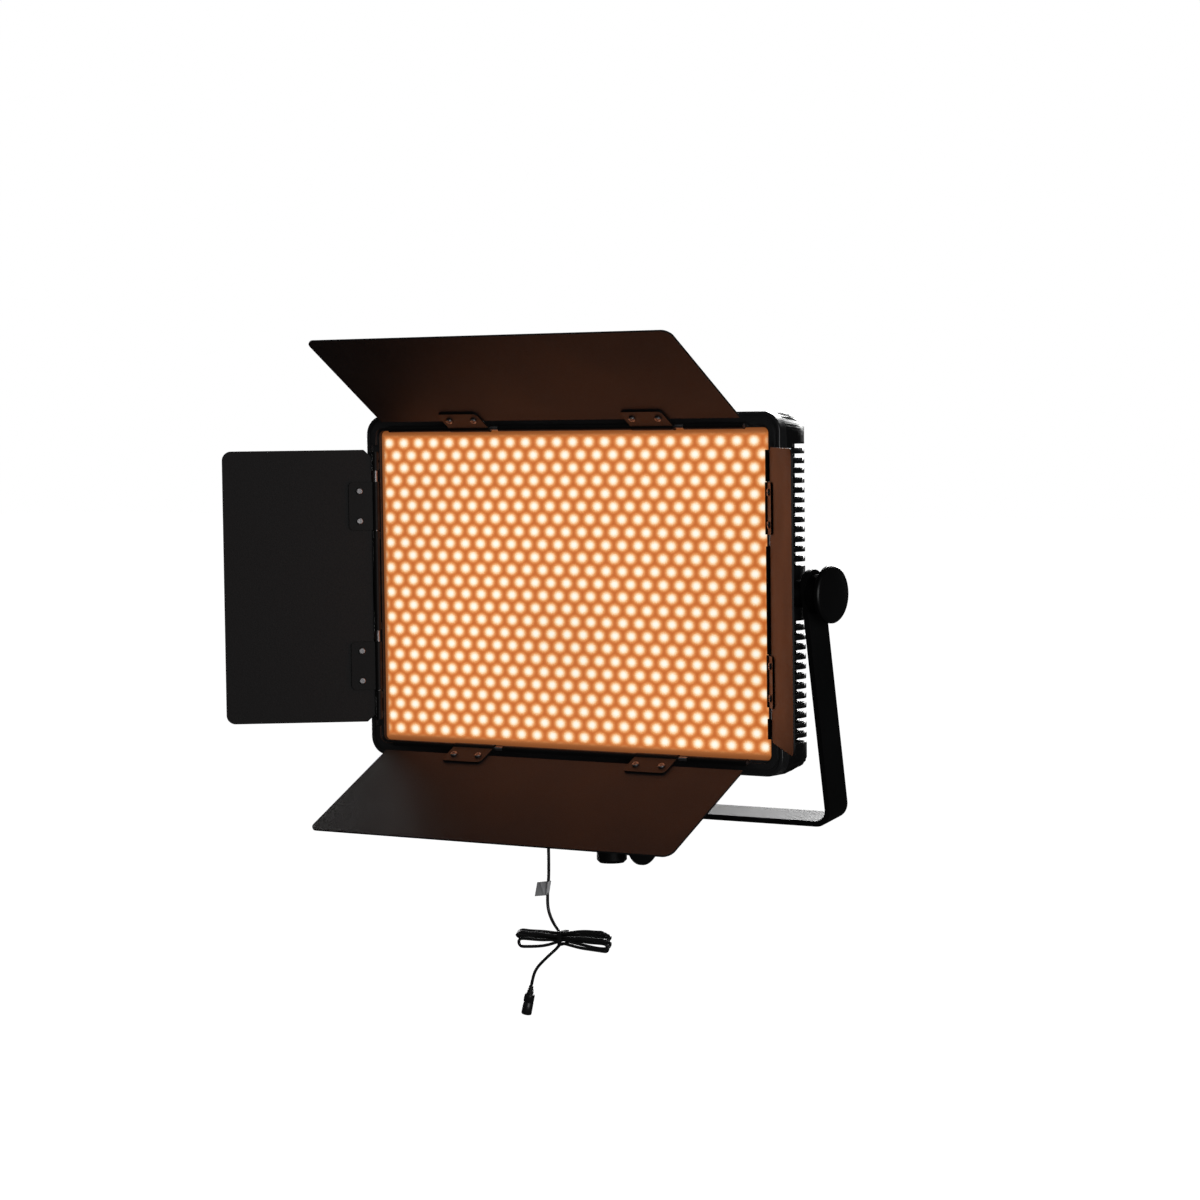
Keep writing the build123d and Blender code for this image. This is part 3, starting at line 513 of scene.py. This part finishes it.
def cut_near_corners(mesh):
    """Cut the shell into narrow strips near its corners, so that they can be rounded."""
    for normal, half in zip((Vector((1, 0, 0)), Vector((0, 0, 1))), HOUSING_HALF):
        for reach in range(1, CORNER_BACK + 1, 4):
            for side in (-1, 1):
                bmesh.ops.bisect_plane(
                    mesh,
                    geom=mesh.verts[:] + mesh.edges[:] + mesh.faces[:],
                    plane_co=PANEL_CENTRE + normal * (half - reach * MM) * side,
                    plane_no=normal,
                )


def round_housing():
    """The rear shell with its four corners rounder towards the back."""
    half_w, half_h = HOUSING_HALF
    mesh = joined("rear_shell")
    cut_near_corners(mesh)
    for vert in mesh.verts:
        place = vert.co - PANEL_CENTRE
        grown = min(1, max(0, (place.y / MM - GROWS_FROM) / GROWS_OVER))
        radius = (CORNER_FRONT + (CORNER_BACK - CORNER_FRONT) * grown) * MM
        over = Vector((abs(place.x) - half_w + radius, abs(place.z) - half_h + radius))
        if over.x > 0 and over.y > 0 and over.length > radius:
            over *= radius / over.length
            place.x = math.copysign(half_w - radius + over.x, place.x)
            place.z = math.copysign(half_h - radius + over.y, place.z)
            vert.co = PANEL_CENTRE + place
    stand_in("rear_shell", mesh)


# ---------------------------------------------------------------- doors


def door_margin(name, spin, opening):
    """Thin inner margin of a side door, from the sheet to the hinge tubes, its two corners cut."""
    place = (
        Matrix.Translation(PANEL_CENTRE)
        @ Matrix.Rotation(math.radians(spin), 4, "Y")
        @ Matrix.Translation(DOOR_HINGE)
        @ Matrix.Rotation(-math.radians(opening), 4, "X")
    )
    mesh = bmesh.new()
    low, high = [
        [mesh.verts.new(place @ (Vector((x, y, z)) * MM)) for x, y in MARGIN_OUTLINE] for z in MARGIN_FACES
    ]
    mesh.faces.new(low)
    mesh.faces.new(high)
    for i in range(len(MARGIN_OUTLINE)):
        after = (i + 1) % len(MARGIN_OUTLINE)
        mesh.faces.new((low[i], low[after], high[after], high[i]))
    bmesh.ops.bevel(mesh, geom=mesh.edges[:], offset=0.2 * MM, segments=2, affect="EDGES")
    data = mesh_data(f"door_margin_{name}", turned_out(mesh))
    piece(f"door_margin_{name}", data, f"door_{name}", "black_door", smooth=False)


# ---------------------------------------------------------------- power lead


def waist_point(crossing):
    """Where the lead passes the tie: three strands abreast, row below row."""
    row, column = divmod(crossing, 3)
    return (WAIST_X, LEAD_PLANE + (column - 1) * LANE, WAIST_Z + TOP_ROW - row * ROW)


def fold_leg(tie, mouth):
    """Points from the tie to the mouth of a fold, spreading early and swaying a little."""
    leg = []
    for share in (0.22, 0.44, 0.66, 0.86):
        point = tie.lerp(mouth, share)
        spread = tie.lerp(mouth, share * (2 - share))
        sway = 0.3 * math.sin(8 * share + mouth.y)
        leg.append((point.x, spread.y, spread.z + sway))
    return leg


def fold_points(fold, start, end):
    """Out from the tie, round the half circle of the fold and back."""
    tip_x, y_out, z_out, y_back, z_back = fold
    out = Vector((0, LEAD_PLANE + y_out, z_out))
    back = Vector((0, LEAD_PLANE + y_back, z_back))
    middle = (out + back) / 2
    radius = (back - out).length / 2
    way = math.copysign(1.0, tip_x - WAIST_X)
    turn_x = tip_x - way * radius
    arc = []
    for step in range(FOLD_STEPS + 1):
        angle = math.pi * step / FOLD_STEPS
        point = middle + (out - middle) * math.cos(angle)
        arc.append((turn_x + way * radius * math.sin(angle), point.y, point.z))
    going = fold_leg(Vector(start), Vector((turn_x, out.y, out.z)))
    coming = fold_leg(Vector(end), Vector((turn_x, back.y, back.z)))
    return going + arc + coming[::-1]


def hank_points():
    """The tied hank: folds to the right and to the left of the tie in turn."""
    folds = [RIGHT_FOLDS[0]]
    for left, right in zip(LEFT_FOLDS, RIGHT_FOLDS[1:]):
        folds += [left, right]
    points = [waist_point(0)]
    for crossing, fold in enumerate(folds):
        end = waist_point(crossing + 1)
        points += fold_points(fold, waist_point(crossing), end)
        points.append(end)
    return points


def power_lead():
    """The whole lead as one fixed tube from plug to connector, riding on no body."""
    route = [Vector(p) * MM for p in LEAD_DROP + hank_points() + LEAD_TAIL]
    line = smooth_line(route)
    lead = piece("power_lead", tube("power_lead", line, LEAD_D / 2), None, "lead")
    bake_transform(lead)
    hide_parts("lead_drop", "lead_hank", "lead_tail")
    connector = lead_connector(Vector(LEAD_TAIL[-1]) * MM, (route[-1] - route[-2]).normalized())
    tag = lead_tag()


def lead_connector(end, way):
    """Inline barrel connector: ribbed strain relief, shoulder and an open mouth."""
    outline = [(-0.2, 1.6), (0.0, 1.9)]
    for rib in range(4):
        at, radius = 0.6 + rib * 1.6, 2.1 + rib * 0.35
        outline += [(at, radius), (at + 0.8, radius), (at + 0.9, radius - 0.35), (at + 1.5, radius - 0.3)]
    outline += [(7.2, 3.6), (7.8, 4.4), (8.4, 4.6), (14.0, 4.6), (14.2, 4.35), (15.0, 4.35), (15.2, 4.6)]
    outline += [(25.4, 4.6), (26.0, 4.2), (26.0, 2.9), (25.6, 2.7), (17.5, 2.7), (17.5, 0.2)]
    data = lathed("lead_connector_body", end, way, outline)
    body = piece("lead_connector_body", data, "yoke", "lead")
    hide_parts("lead_connector")
    return body


def bell(distance, width):
    """A smooth bump of height 1."""
    return math.exp(-((distance / width) ** 2))


def tag_point(u, v, face):
    """Point of the tag u across and v down, on its near or far face (-1 or 1)."""
    (ax, az), (bx, bz), (cx, cz), (dx, dz) = TAG_CORNERS
    x = (ax + (bx - ax) * u) * (1 - v) + (dx + (cx - dx) * u) * v
    z = (az + (bz - az) * u) * (1 - v) + (dz + (cz - dz) * u) * v
    lead_x = -82.3 - 1.5 * v
    round_lead = 1.6 * bell(x - lead_x, 1.5)
    curl = 1.4 * (1 - u) ** 2 - 0.45 * bell(u - 0.25 - 0.45 * v, 0.07)
    rim = min(1.0, 8 * min(u, 1 - u, v, 1 - v) + 0.4)
    y = LEAD_PLANE + curl + face * (TAG_HALF_THICK + round_lead) * rim
    return Vector((x, y, z)) * MM


def border(grid):
    """The grid's vertices round its edge, in order."""
    right = [line[-1] for line in grid[1:-1]]
    left = [line[0] for line in grid[1:-1]]
    return grid[0] + right + grid[-1][::-1] + left[::-1]


def lead_tag():
    """Blank film flag folded round the lead, curled, with one diagonal crease."""
    columns, rows = TAG_GRID
    mesh = bmesh.new()
    edges = []
    for face in (-1, 1):
        grid = [
            [mesh.verts.new(tag_point(i / columns, j / rows, face)) for i in range(columns + 1)]
            for j in range(rows + 1)
        ]
        for low, high in zip(grid, grid[1:]):
            for i in range(columns):
                mesh.faces.new((low[i], low[i + 1], high[i + 1], high[i]))
        edges.append(border(grid))
    front, back = edges
    for i in range(len(front)):
        mesh.faces.new((front[i - 1], front[i], back[i], back[i - 1]))
    tag = piece("lead_tag_film", mesh_data("lead_tag_film", turned_out(mesh)), "yoke", "tag")
    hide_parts("lead_tag")
    return tag


# ---------------------------------------------------------------- stage


def camera():
    """The camera that took the photo."""
    data = bpy.data.cameras.new("camera")
    data.lens = LENS_MM
    data.sensor_width = SENSOR_MM
    data.shift_y = SHIFT_Y
    data.clip_start = 0.01
    data.clip_end = 200.0
    holder = placed("camera", data)
    forward = CAMERA_FORWARD.normalized()
    right = (CAMERA_RIGHT - forward * CAMERA_RIGHT.dot(forward)).normalized()
    up = right.cross(forward)
    holder.matrix_world = Matrix.Translation(CAMERA_AT) @ Matrix((right, up, -forward)).transposed().to_4x4()
    bpy.context.scene.camera = holder


def area_light(name, at, target, size, power, colour):
    """Rectangular light that the camera doesn't see."""
    data = bpy.data.lights.new(name, "AREA")
    data.shape = "RECTANGLE"
    data.size, data.size_y = size
    data.energy = power
    data.color = colour
    holder = placed(name, data)
    holder.location = at
    holder.rotation_euler = (Vector(target) - Vector(at)).to_track_quat("-Z", "Y").to_euler()
    holder.visible_camera = False
    return holder


def pale_floor():
    """Wide pale floor that lights nothing itself."""
    mesh = bpy.data.meshes.new("floor")
    corners = [(x * FLOOR_REACH, y * FLOOR_REACH, FLOOR_Z) for x, y in ((-1, -1), (1, -1), (1, 1), (-1, 1))]
    mesh.from_pydata(corners, [], [(0, 1, 2, 3)])
    floor = placed("floor", mesh)
    material, tree, shader = new_material("pale_floor")
    inputs = {"Base Color": (0.9, 0.9, 0.9, 1), "Emission Color": (1, 1, 1, 1), "Emission Strength": 1.0}
    feed(tree, shader, inputs)
    mesh.materials.append(material)
    floor.visible_diffuse = False
    floor.visible_glossy = False


def surroundings():
    """World that the camera sees white, and that lights the object only dimly."""
    world = bpy.data.worlds.new("surroundings")
    world.use_nodes = True
    tree = world.node_tree
    seen = add(tree, "ShaderNodeLightPath").outputs["Is Camera Ray"]
    level = rescaled(tree, seen, target=(DIM_WORLD, 1.0))
    feed(tree, tree.nodes["Background"], {"Color": (1, 1, 1, 1), "Strength": level})
    bpy.context.scene.world = world


def lights():
    """Soft lights round the object, and the panel's own warm light, which turns with it."""
    for name, (at, size, power) in LIGHTS.items():
        area_light(name, at, AIM, size, power, WHITE)
    front = Vector((0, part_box("diffuser_sheet")[0].y - GLOW_GAP, PANEL_CENTRE.z))
    ahead = front + Vector((0, -1, 0))
    glow = area_light("panel_glow", front, ahead, LED_AREA, GLOW_POWER, GLOW_COLOUR)
    glow.parent = BODIES["panel"]


MATERIALS = make_materials()
SLOTS = {part["node"]: part["material_slot"] for part in RECORD["subparts"]}
for node, slot in SLOTS.items():
    data = NODES[node].data
    data.materials.clear()
    data.materials.append(MATERIALS[slot])
camera()
round_housing()
for node in SOFTENED:
    soften(node, WIDE_BEVEL)
for side in ("top", "right", "bottom", "left"):
    soften(f"barn_door_{side}", FINE_BEVEL)
    soften(f"door_brackets_{side}", FINE_BEVEL)
for side, (spin, opening) in SIDE_DOORS.items():
    door_margin(side, spin, opening)
power_lead()
pale_floor()
surroundings()
lights()
bpy.context.scene.view_settings.view_transform = "Standard"
